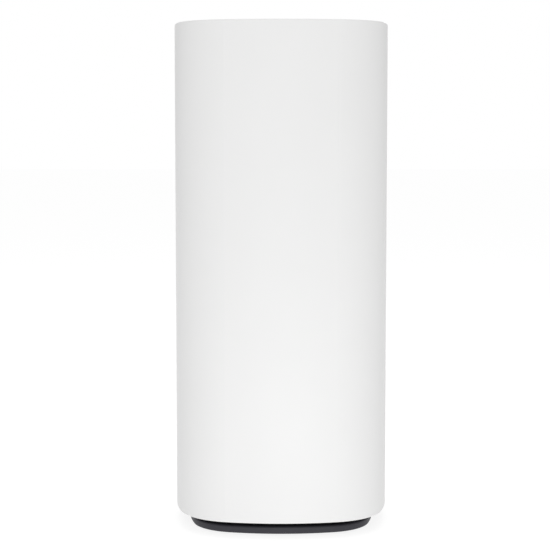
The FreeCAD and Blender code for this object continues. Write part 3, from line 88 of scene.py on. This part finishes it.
def add_softboxes():
    """High boxes in front and behind, one far to the left, one overhead and a small one by the floor."""
    add_softbox("front_box", (0, -0.9, 0.35), (0, 0, 0.2), (0.5, 0.2), 1.45)
    add_softbox("rear_box", (0, 0.9, 0.35), (0, 0, 0.2), (0.5, 0.2), 0.9)
    add_softbox("left_box", (-1.4, -0.5, 0.5), (0, 0, 0.12), (0.8, 1.2), 0.16)
    add_softbox("top_box", (0, 0.1, 1.2), (0, 0, 0.2), (0.6, 0.6), 3.5)
    add_softbox("floor_box", (0.02, -0.22, 0.015), (0, 0, 0.015), (0.10, 0.025), 0.045)


def add_world():
    """An even white surround. It lights the node more gently than it shows behind it."""
    world = bpy.data.worlds.new("studio")
    world.use_nodes = True
    tree = world.node_tree
    lighting = tree.nodes["Background"]
    lighting.inputs["Color"].default_value = WHITE
    lighting.inputs["Strength"].default_value = SURROUND
    backdrop = tree.nodes.new("ShaderNodeBackground")
    backdrop.inputs["Color"].default_value = WHITE
    backdrop.inputs["Strength"].default_value = 1.0
    rays = tree.nodes.new("ShaderNodeLightPath")
    mix = tree.nodes.new("ShaderNodeMixShader")
    tree.links.new(rays.outputs["Is Camera Ray"], mix.inputs["Fac"])
    tree.links.new(lighting.outputs["Background"], mix.inputs[1])
    tree.links.new(backdrop.outputs["Background"], mix.inputs[2])
    tree.links.new(mix.outputs["Shader"], tree.nodes["World Output"].inputs["Surface"])
    bpy.context.scene.world = world


def add_floor():
    reach = FLOOR_REACH
    corners = [(-reach, -reach, 0), (reach, -reach, 0), (reach, reach, 0), (-reach, reach, 0)]
    mesh = bpy.data.meshes.new("floor")
    mesh.from_pydata(corners, [], [(0, 1, 2, 3)])
    floor = bpy.data.objects.new("floor", mesh)
    bpy.context.scene.collection.objects.link(floor)
    paper = bpy.data.materials.new("backlit_paper")
    paper.use_nodes = True
    shader = paper.node_tree.nodes["Principled BSDF"]
    shader.inputs["Base Color"].default_value = (FLOOR_WHITE, FLOOR_WHITE, FLOOR_WHITE, 1)
    shader.inputs["Roughness"].default_value = 0.9
    shader.inputs["Specular IOR Level"].default_value = 0.0
    shader.inputs["Emission Color"].default_value = WHITE
    shader.inputs["Emission Strength"].default_value = FLOOR_GLOW
    mesh.materials.append(paper)


# ---------------------------------------------------------------- material kit
NOISE_SPAN = (0.3, 0.7)  # where most of a noise's values lie


class Surface:
    """A procedural material. Patterns are given by the size of their detail in millimetres."""

    def __init__(self, name, metallic=0.0):
        self.material = bpy.data.materials.new(name)
        self.material.use_nodes = True
        self.tree = self.material.node_tree
        self.shader = self.tree.nodes["Principled BSDF"]
        self.shader.inputs["Metallic"].default_value = metallic
        self.place = self.node("ShaderNodeTexCoord").outputs["Object"]

    def node(self, kind, **settings):
        made = self.tree.nodes.new(kind)
        for name, value in settings.items():
            setattr(made, name, value)
        return made

    def link(self, source, target):
        self.tree.links.new(source, target)

    def set(self, **values):
        """Constant values on the shader's own sockets."""
        for name, value in values.items():
            self.shader.inputs[name.replace("_", " ")].default_value = value

    def scaled(self, size):
        """Object coordinates in units of size, one number or one for each axis, in millimetres."""
        sizes = size if isinstance(size, tuple) else (size,) * 3
        mapping = self.node("ShaderNodeMapping", vector_type="POINT")
        mapping.inputs["Scale"].default_value = [1 / (s * MM) for s in sizes]
        self.link(self.place, mapping.inputs["Vector"])
        return mapping.outputs["Vector"]

    def noise(self, size, detail=2.0, roughness=0.5):
        made = self.node("ShaderNodeTexNoise")
        made.inputs["Scale"].default_value = 1.0
        made.inputs["Detail"].default_value = detail
        made.inputs["Roughness"].default_value = roughness
        self.link(self.scaled(size), made.inputs["Vector"])
        return made.outputs["Fac"]

    def cells(self, size, output="Distance", **settings):
        made = self.node("ShaderNodeTexVoronoi", **settings)
        made.inputs["Scale"].default_value = 1.0
        self.link(self.scaled(size), made.inputs["Vector"])
        return made.outputs[output]

    def along(self, axis):
        """One object coordinate, in millimetres."""
        split = self.node("ShaderNodeSeparateXYZ")
        self.link(self.scaled(1.0), split.inputs["Vector"])
        return split.outputs[axis]

    def maths(self, operation, first, *others):
        """A Math node. Its inputs are sockets or numbers."""
        made = self.node("ShaderNodeMath", operation=operation)
        for value, socket in zip((first, *others), made.inputs):
            if isinstance(value, (int, float)):
                socket.default_value = value
            else:
                self.link(value, socket)
        return made.outputs["Value"]

    def bars(self, axis, pitch, width, phase=0.0):
        """One on bars of this width, a pitch apart, and nought between them."""
        place = self.maths("ADD", self.along(axis), phase)
        offset = self.maths("ABSOLUTE", self.maths("WRAP", place, pitch / 2, -pitch / 2))
        return self.maths("LESS_THAN", offset, width / 2)

    def within(self, axis, centre, half):
        """One where a coordinate is within half of the centre."""
        offset = self.maths("SUBTRACT", self.along(axis), centre)
        return self.maths("LESS_THAN", self.maths("ABSOLUTE", offset), half)

    def colour(self, fac, low, high):
        ramp = self.node("ShaderNodeValToRGB")
        first, last = ramp.color_ramp.elements
        first.position, last.position = NOISE_SPAN
        first.color, last.color = (*low, 1), (*high, 1)
        self.link(fac, ramp.inputs["Fac"])
        self.link(ramp.outputs["Color"], self.shader.inputs["Base Color"])
        return ramp.outputs["Color"]

    def paint(self, mask, under, over):
        """Lays one colour over another where the mask is one. Either may be a socket."""
        mix = self.node("ShaderNodeMix", data_type="RGBA")
        self.link(mask, mix.inputs["Factor"])
        for value, socket in ((under, mix.inputs[6]), (over, mix.inputs[7])):
            if isinstance(value, tuple):
                socket.default_value = (*value, 1)
            else:
                self.link(value, socket)
        self.link(mix.outputs[2], self.shader.inputs["Base Color"])
        return mix.outputs[2]

    def rough(self, fac, low, high):
        spread = self.node("ShaderNodeMapRange")
        spread.inputs["From Min"].default_value = NOISE_SPAN[0]
        spread.inputs["From Max"].default_value = NOISE_SPAN[1]
        spread.inputs["To Min"].default_value = low
        spread.inputs["To Max"].default_value = high
        self.link(fac, spread.inputs["Value"])
        self.link(spread.outputs["Result"], self.shader.inputs["Roughness"])

    def bump(self, height, depth):
        """Relief of the given depth in millimetres."""
        made = self.node("ShaderNodeBump")
        made.inputs["Strength"].default_value = 1.0
        made.inputs["Distance"].default_value = depth * MM
        self.link(height, made.inputs["Height"])
        self.link(made.outputs["Normal"], self.shader.inputs["Normal"])


def moulded(name, dark, light, grain_size, depth, roughness):
    """Moulded plastic with a fine spark-eroded grain and faint, broad changes of tone."""
    s = Surface(name)
    grain = s.noise(grain_size, 3.0)
    s.colour(s.noise(12.0, 3.0), dark, light)
    s.rough(grain, *roughness)
    s.bump(grain, depth)
    return s


def streaked_metal(name, dark, light, streak, roughness, depth):
    """Metal with fine streaks, given by their size along each axis."""
    s = Surface(name, metallic=1.0)
    streaks = s.noise(streak, 3.0, 0.6)
    s.colour(s.noise(6.0, 3.0), dark, light)
    s.rough(streaks, *roughness)
    s.bump(streaks, depth)
    return s


# ---------------------------------------------------------------- materials, one for each slot
def shell_white():
    s = Surface("shell_white")
    grain = s.noise(0.35, 3.0)
    s.colour(s.noise(30.0), (0.800, 0.800, 0.798), (0.810, 0.810, 0.808))
    s.rough(grain, 0.46, 0.56)
    s.bump(grain, 0.012)
    return s


def base_slate():
    s = moulded("base_slate", (0.030, 0.029, 0.037), (0.035, 0.034, 0.042), 0.5, 0.02, (0.50, 0.62))
    s.set(Specular_IOR_Level=0.35)
    return s


def bay_slate():
    s = moulded("bay_slate", (0.036, 0.035, 0.043), (0.043, 0.042, 0.050), 0.5, 0.025, (0.50, 0.64))
    s.set(Specular_IOR_Level=0.4)
    return s


def foot_rubber():
    """Dull moulded rubber with fine pits."""
    s = Surface("foot_rubber")
    pits = s.cells(0.6, feature="SMOOTH_F1")
    s.colour(s.noise(4.0, 4.0), (0.018, 0.018, 0.019), (0.032, 0.032, 0.033))
    s.rough(s.noise(1.5, 3.0), 0.70, 0.88)
    s.bump(pits, 0.05)
    s.set(Specular_IOR_Level=0.3)
    return s


LABEL_BORDER = 1.2  # mm, from the label's edge to its printed line
LABEL_LINE = 0.25
LABEL_FIELD = 5.2  # mm, height of a blank field


def label_grey():
    """Blank silver film with a thin printed border and three blank fields."""
    s = Surface("label_grey")
    low, high = [[v / MM for v in corner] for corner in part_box("rating_label")]
    middle = [(a + b) / 2 for a, b in zip(low, high)]
    half = [(b - a) / 2 for a, b in zip(low, high)]

    def rectangle(inset):
        across = s.within("X", middle[0], half[0] - inset)
        return s.maths("MULTIPLY", across, s.within("Y", middle[1], half[1] - inset))

    inner = rectangle(LABEL_BORDER + LABEL_LINE)
    frame_line = s.maths("SUBTRACT", rectangle(LABEL_BORDER), inner)
    fields = s.bars("Y", LABEL_FIELD, LABEL_LINE, LABEL_FIELD / 2 - middle[1])
    rules = s.maths("MULTIPLY", inner, fields)
    film = s.colour(s.noise((14.0, 0.5, 1.0), 2.0), (0.50, 0.51, 0.53), (0.56, 0.57, 0.59))
    s.paint(s.maths("ADD", frame_line, rules), film, (0.10, 0.10, 0.11))
    s.rough(s.noise(0.8, 2.0), 0.28, 0.38)
    return s


def screw_steel():
    """Bright zinc plate, slightly blue and clouded."""
    s = Surface("screw_steel", metallic=1.0)
    clouds = s.noise(0.9, 4.0, 0.6)
    s.colour(clouds, (0.50, 0.51, 0.53), (0.70, 0.71, 0.73))
    s.rough(s.noise((0.12, 0.12, 0.6), 2.0), 0.22, 0.38)
    s.bump(clouds, 0.01)
    return s


def screw_black():
    """Black oxide on steel."""
    s = Surface("screw_black", metallic=0.6)
    clouds = s.noise(0.7, 4.0, 0.6)
    s.colour(clouds, (0.012, 0.012, 0.013), (0.035, 0.035, 0.037))
    s.rough(clouds, 0.34, 0.52)
    s.bump(clouds, 0.01)
    return s


def chassis_grey():
    return moulded("chassis_grey", (0.075, 0.079, 0.088), (0.098, 0.102, 0.112), 0.6, 0.02, (0.45, 0.60))


ANTENNA_MIDDLE = 110.0  # mm, the height that the copper strips are centred on
ANTENNA_REACH = 80.0


def antenna_board():
    """Black laminate with level copper strips under the solder mask."""
    s = Surface("antenna_board")
    weave = s.noise(0.3)
    copper = s.maths("MULTIPLY", s.bars("Z", 4.0, 1.4), s.within("Z", ANTENNA_MIDDLE, ANTENNA_REACH))
    mask = s.colour(s.noise(5.0, 3.0), (0.010, 0.012, 0.012), (0.016, 0.018, 0.018))
    s.paint(copper, mask, (0.050, 0.036, 0.022))
    s.rough(weave, 0.30, 0.42)
    s.bump(copper, 0.035)
    return s


def lead_sheath():
    """Smooth extruded sheath, faintly ringed where it has been pulled."""
    s = Surface("lead_sheath")
    s.colour(s.noise(3.0, 3.0), (0.016, 0.016, 0.017), (0.028, 0.028, 0.030))
    s.rough(s.noise(0.8, 2.0), 0.30, 0.45)
    s.bump(s.noise(0.5), 0.02)
    return s


def contact_gold():
    """Thin gold over nickel, paler where it is thinnest."""
    s = Surface("contact_gold", metallic=1.0)
    clouds = s.noise(0.8, 3.0, 0.6)
    s.colour(clouds, (0.78, 0.57, 0.24), (0.90, 0.74, 0.42))
    s.rough(s.noise((0.1, 1.2, 0.1), 2.0), 0.16, 0.30)
    s.bump(clouds, 0.005)
    return s


def lamp_lens():
    """Unlit water-clear lens over a pale chip, with a slight green tint."""
    s = Surface("lamp_lens")
    s.colour(s.noise(0.9, 2.0), (0.52, 0.60, 0.42), (0.66, 0.72, 0.54))
    s.rough(s.noise(0.5, 2.0), 0.12, 0.24)
    s.set(Transmission_Weight=0.35, IOR=1.5, Coat_Weight=0.3)
    return s


def shield_steel():
    """Tin-plated sheet with fine rolling marks and clouded patches."""
    dark, light = (0.60, 0.60, 0.60), (0.74, 0.74, 0.74)
    return streaked_metal("shield_steel", dark, light, (0.9, 2.5, 0.12), (0.24, 0.40), 0.006)


def socket_black():
    return moulded("socket_black", (0.010, 0.010, 0.011), (0.016, 0.016, 0.018), 0.3, 0.006, (0.22, 0.34))


def socket_white():
    return moulded("socket_white", (0.66, 0.63, 0.55), (0.72, 0.69, 0.62), 0.25, 0.006, (0.32, 0.44))


def switch_black():
    """Satin moulding with a slightly finer grain than the housing."""
    return moulded("switch_black", (0.011, 0.011, 0.013), (0.018, 0.018, 0.020), 0.25, 0.012, (0.30, 0.44))


def button_grey():
    return moulded("button_grey", (0.120, 0.124, 0.142), (0.138, 0.142, 0.160), 0.3, 0.012, (0.34, 0.46))


TRACK_PITCH, TRACK_WIDTH = 0.8, 0.36
TRACK_SHARE = 0.62  # patches above this share carry tracks
HOLE_PITCH = 3.4
HOLE_SIZE = 0.085  # radius, in pitches


def circuit_board():
    """Green solder mask over copper tracks, which run along and across it, and plated holes."""
    s = Surface("circuit_board")
    patches = s.cells(9.0, "Color", distance="CHEBYCHEV")
    split = s.node("ShaderNodeSeparateColor")
    s.link(patches, split.inputs["Color"])

    def tracks_along(axis, channel):
        patch = s.maths("GREATER_THAN", split.outputs[channel], TRACK_SHARE)
        return s.maths("MULTIPLY", s.bars(axis, TRACK_PITCH, TRACK_WIDTH), patch)

    tracks = s.maths("MAXIMUM", tracks_along("X", "Red"), tracks_along("Z", "Green"))
    holes = s.maths("LESS_THAN", s.cells((HOLE_PITCH, 200.0, HOLE_PITCH)), HOLE_SIZE)
    mask = s.colour(s.noise(16.0, 3.0), (0.010, 0.062, 0.034), (0.014, 0.078, 0.044))
    tracked = s.paint(tracks, mask, (0.022, 0.125, 0.066))
    s.paint(holes, tracked, (0.55, 0.52, 0.40))
    s.rough(s.noise(0.6, 2.0), 0.26, 0.38)
    s.bump(tracks, 0.03)
    return s


def chip_black():
    """Moulded epoxy, dull and finely sandy."""
    return moulded("chip_black", (0.014, 0.014, 0.015), (0.024, 0.024, 0.025), 0.18, 0.012, (0.52, 0.68))


def thermal_pad():
    """Soft filled silicone with a mottled, slightly tacky face."""
    s = Surface("thermal_pad")
    mottle = s.noise(0.5, 4.0, 0.65)
    s.colour(mottle, (0.24, 0.29, 0.36), (0.33, 0.38, 0.45))
    s.rough(mottle, 0.62, 0.80)
    s.bump(mottle, 0.04)
    return s


def sink_aluminium():
    """Extruded aluminium, with drawn lines along its fins."""
    dark, light = (0.66, 0.67, 0.68), (0.78, 0.79, 0.80)
    return streaked_metal("sink_aluminium", dark, light, (0.2, 0.2, 12.0), (0.26, 0.42), 0.012)


def capacitor_can():
    """Drawn aluminium, with fine lines along the can."""
    dark, light = (0.62, 0.62, 0.64), (0.76, 0.76, 0.78)
    return streaked_metal("capacitor_can", dark, light, (0.15, 3.0, 0.15), (0.18, 0.32), 0.005)


def light_pipe():
    """Frosted clear acrylic."""
    s = Surface("light_pipe")
    frost = s.noise(0.15, 3.0)
    s.colour(s.noise(2.0), (0.80, 0.82, 0.84), (0.88, 0.90, 0.92))
    s.rough(frost, 0.30, 0.48)
    s.bump(frost, 0.01)
    s.set(Transmission_Weight=0.5, IOR=1.49)
    return s


def ribbon_film():
    """White film over flat tinned conductors, half a millimetre apart."""
    s = Surface("ribbon_film")
    wires = s.bars("X", 0.5, 0.3)
    film = s.colour(s.noise(3.0, 2.0), (0.68, 0.67, 0.63), (0.74, 0.73, 0.69))
    s.paint(wires, film, (0.42, 0.42, 0.41))
    s.rough(s.noise(0.6, 2.0), 0.30, 0.42)
    s.bump(wires, 0.03)
    return s


MATERIALS = [
    shell_white, base_slate, bay_slate, foot_rubber, label_grey, screw_steel, screw_black,
    chassis_grey, antenna_board, lead_sheath, contact_gold, lamp_lens, shield_steel, socket_black,
    socket_white, switch_black, button_grey, circuit_board, chip_black, thermal_pad, sink_aluminium,
    capacitor_can, light_pipe, ribbon_film,
]


def dress_nodes(made):
    """Gives every node the material of its slot."""
    for part in frame["record"]["subparts"]:
        mesh = nodes[part["node"]].data
        mesh.materials.clear()
        mesh.materials.append(made[part["material_slot"]])


# ---------------------------------------------------------------- marks round the sockets
MARK_HEIGHT = 2.3 * MM
MARK_THICKNESS = 0.08 * MM
MARK_STEP = 0.012 * MM  # extra thickness of each further stroke of a mark
MARK_LINE = 0.2 * MM
MARK_GAP = 1.7 * MM  # from a socket's shield to the middle of its mark
FIGURE_SHARE = 0.7  # a figure's height as a share of its type size
GLOBE_RADIUS = MARK_HEIGHT * 0.55
SYMBOL_RADIUS = MARK_HEIGHT * 0.42


def mounted(name):
    """Where a mount is, from the record."""
    return Vector(next(m["pos_m"] for m in frame["record"]["mounts"] if m["name"] == name))


def add_piece(name, mesh, slot, made):
    piece = bpy.data.objects.new(name, mesh)
    mesh.materials.append(made[slot])
    bpy.context.scene.collection.objects.link(piece)
    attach(piece, BODY)


def on_panel(x, y, z):
    """Turns shapes drawn flat in x and y to lie on the panel, read from behind and centred here."""
    facing = Matrix(((-1, 0, 0), (0, 0, 1), (0, 1, 0))).to_4x4()
    return Matrix.Translation((x, y, z)) @ facing


def numeral(text, place):
    """A printed figure as a thin closed shape."""
    curve = bpy.data.curves.new("numeral", "FONT")
    curve.body = text
    curve.size = MARK_HEIGHT / FIGURE_SHARE
    curve.extrude = MARK_THICKNESS / 2
    curve.align_x = "CENTER"
    curve.align_y = "CENTER"
    curve.resolution_u = 6
    text_object = bpy.data.objects.new("numeral", curve)
    mesh = bpy.data.meshes.new_from_object(text_object)
    bpy.data.objects.remove(text_object)
    mesh.transform(place @ Matrix.Translation((0, 0, MARK_THICKNESS / 2)))
    return mesh


def stroke(path, closed=False):
    """A printed line of even width along flat points, as pairs of side points for strokes_mesh."""
    half = MARK_LINE / 2
    points = [Vector((x, y, 0)) for x, y in path]
    count = len(points)
    sides = []
    for i, point in enumerate(points):
        before = points[i - 1] if i or closed else point
        after = points[(i + 1) % count] if i + 1 < count or closed else point
        along = (after - before).normalized()
        across = Vector((-along.y, along.x, 0)) * half
        sides.append((point - across, point + across))
    return sides, closed


def arc(radius, start, end, steps=28):
    """Points along an arc, angles in degrees."""
    turns = [math.radians(start + (end - start) * i / steps) for i in range(steps + 1)]
    return [(radius * math.cos(a), radius * math.sin(a)) for a in turns]


def strokes_mesh(name, strokes, place):
    """All strokes of a mark as thin closed ribbons in one mesh. Where two cross, one is a little proud."""
    shape = bmesh.new()
    for layer, (sides, closed) in enumerate(strokes):
        lift = Vector((0, 0, MARK_THICKNESS + layer * MARK_STEP))
        rows = []
        for left, right in sides:
            rows.append([shape.verts.new(p) for p in (left, right, right + lift, left + lift)])
        spans = list(zip(rows, rows[1:] + rows[:1])) if closed else list(zip(rows, rows[1:]))
        for a, b in spans:
            for k in range(4):
                shape.faces.new((a[k], a[(k + 1) % 4], b[(k + 1) % 4], b[k]))
        if not closed:
            shape.faces.new(rows[0])
            shape.faces.new(rows[-1])
    bmesh.ops.transform(shape, matrix=place, verts=shape.verts)
    bmesh.ops.recalc_face_normals(shape, faces=shape.faces)
    mesh = bpy.data.meshes.new(name)
    shape.to_mesh(mesh)
    shape.free()
    return mesh


def globe_strokes(radius):
    """A ring, a level line and an upright ellipse: the usual mark for the outside network."""
    ring = stroke(arc(radius, 0, 360)[:-1], closed=True)
    level = stroke([(-radius, 0), (radius, 0)])
    meridian = stroke([(x * 0.45, y) for x, y in arc(radius, 0, 360)[:-1]], closed=True)
    return [ring, level, meridian]


def power_strokes(radius):
    """An open ring with a bar in its gap."""
    return [stroke(arc(radius, 125, 415)), stroke([(0, radius * 0.35), (0, radius * 1.25)])]


def polarity_strokes(radius):
    """A centre-positive plug: a dot in an open ring, with a line to each."""
    dot = stroke(arc(radius * 0.18, 0, 360, 12)[:-1], closed=True)
    ring = stroke(arc(radius, 40, 320))
    inner = stroke([(radius * 0.2, 0), (radius * 2.2, 0)])
    outer = stroke([(-radius, 0), (-radius * 2.2, 0)])
    level_bar = stroke([(radius * 2.6, 0), (radius * 3.6, 0)])
    upright_bar = stroke([(radius * 3.1, -radius * 0.5), (radius * 3.1, radius * 0.5)])
    minus = stroke([(-radius * 3.6, 0), (-radius * 2.6, 0)])
    return [dot, ring, inner, outer, minus, level_bar, upright_bar]


def pairing_strokes(radius):
    """Two arcs that chase each other, each with an arrow head."""
    strokes = []
    for turn in (0, 180):
        end = turn + 160
        strokes.append(stroke(arc(radius, turn + 20, end)))
        tip = Vector(arc(radius, end, end, 1)[0])
        for lean in (55, 125):
            back = math.radians(end - lean)
            tail = tip + Vector((math.cos(back), math.sin(back))) * radius * 0.6
            strokes.append(stroke([tuple(tip), tuple(tail)]))
    return strokes


def add_socket_marks(made):
    """A figure above each local socket and a globe above the internet socket."""
    for name in ("lan_socket_1", "lan_socket_2", "lan_socket_3", "internet_socket"):
        spot = mounted(name)
        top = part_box(name + "_shield")[1][2]
        place = on_panel(spot.x, spot.y, top + MARK_GAP)
        if name == "internet_socket":
            mesh = strokes_mesh(name, globe_strokes(GLOBE_RADIUS), place)
        else:
            mesh = numeral(name[-1], place)
        add_piece("mark_" + name, mesh, "label_grey", made)


def add_panel_marks(made):
    """Marks above the power switch, the inlet and the pairing button."""
    panel = mounted("usb_socket").y
    for node, strokes, size in (
        ("switch_body", power_strokes, SYMBOL_RADIUS),
        ("inlet_body", polarity_strokes, SYMBOL_RADIUS * 0.85),
        ("pair_button", pairing_strokes, SYMBOL_RADIUS * 1.15),
    ):
        low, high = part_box(node)
        middle = (low[0] + high[0]) / 2
        place = on_panel(middle, panel, high[2] + MARK_GAP)
        add_piece("mark_" + node, strokes_mesh(node, strokes(size), place), "label_grey", made)


# ---------------------------------------------------------------- making
add_camera()
add_world()
add_softboxes()
add_floor()
bpy.context.scene.view_settings.view_transform = "Standard"

made = {}
for make in MATERIALS:
    made[make.__name__] = make().material
dress_nodes(made)
add_socket_marks(made)
add_panel_marks(made)
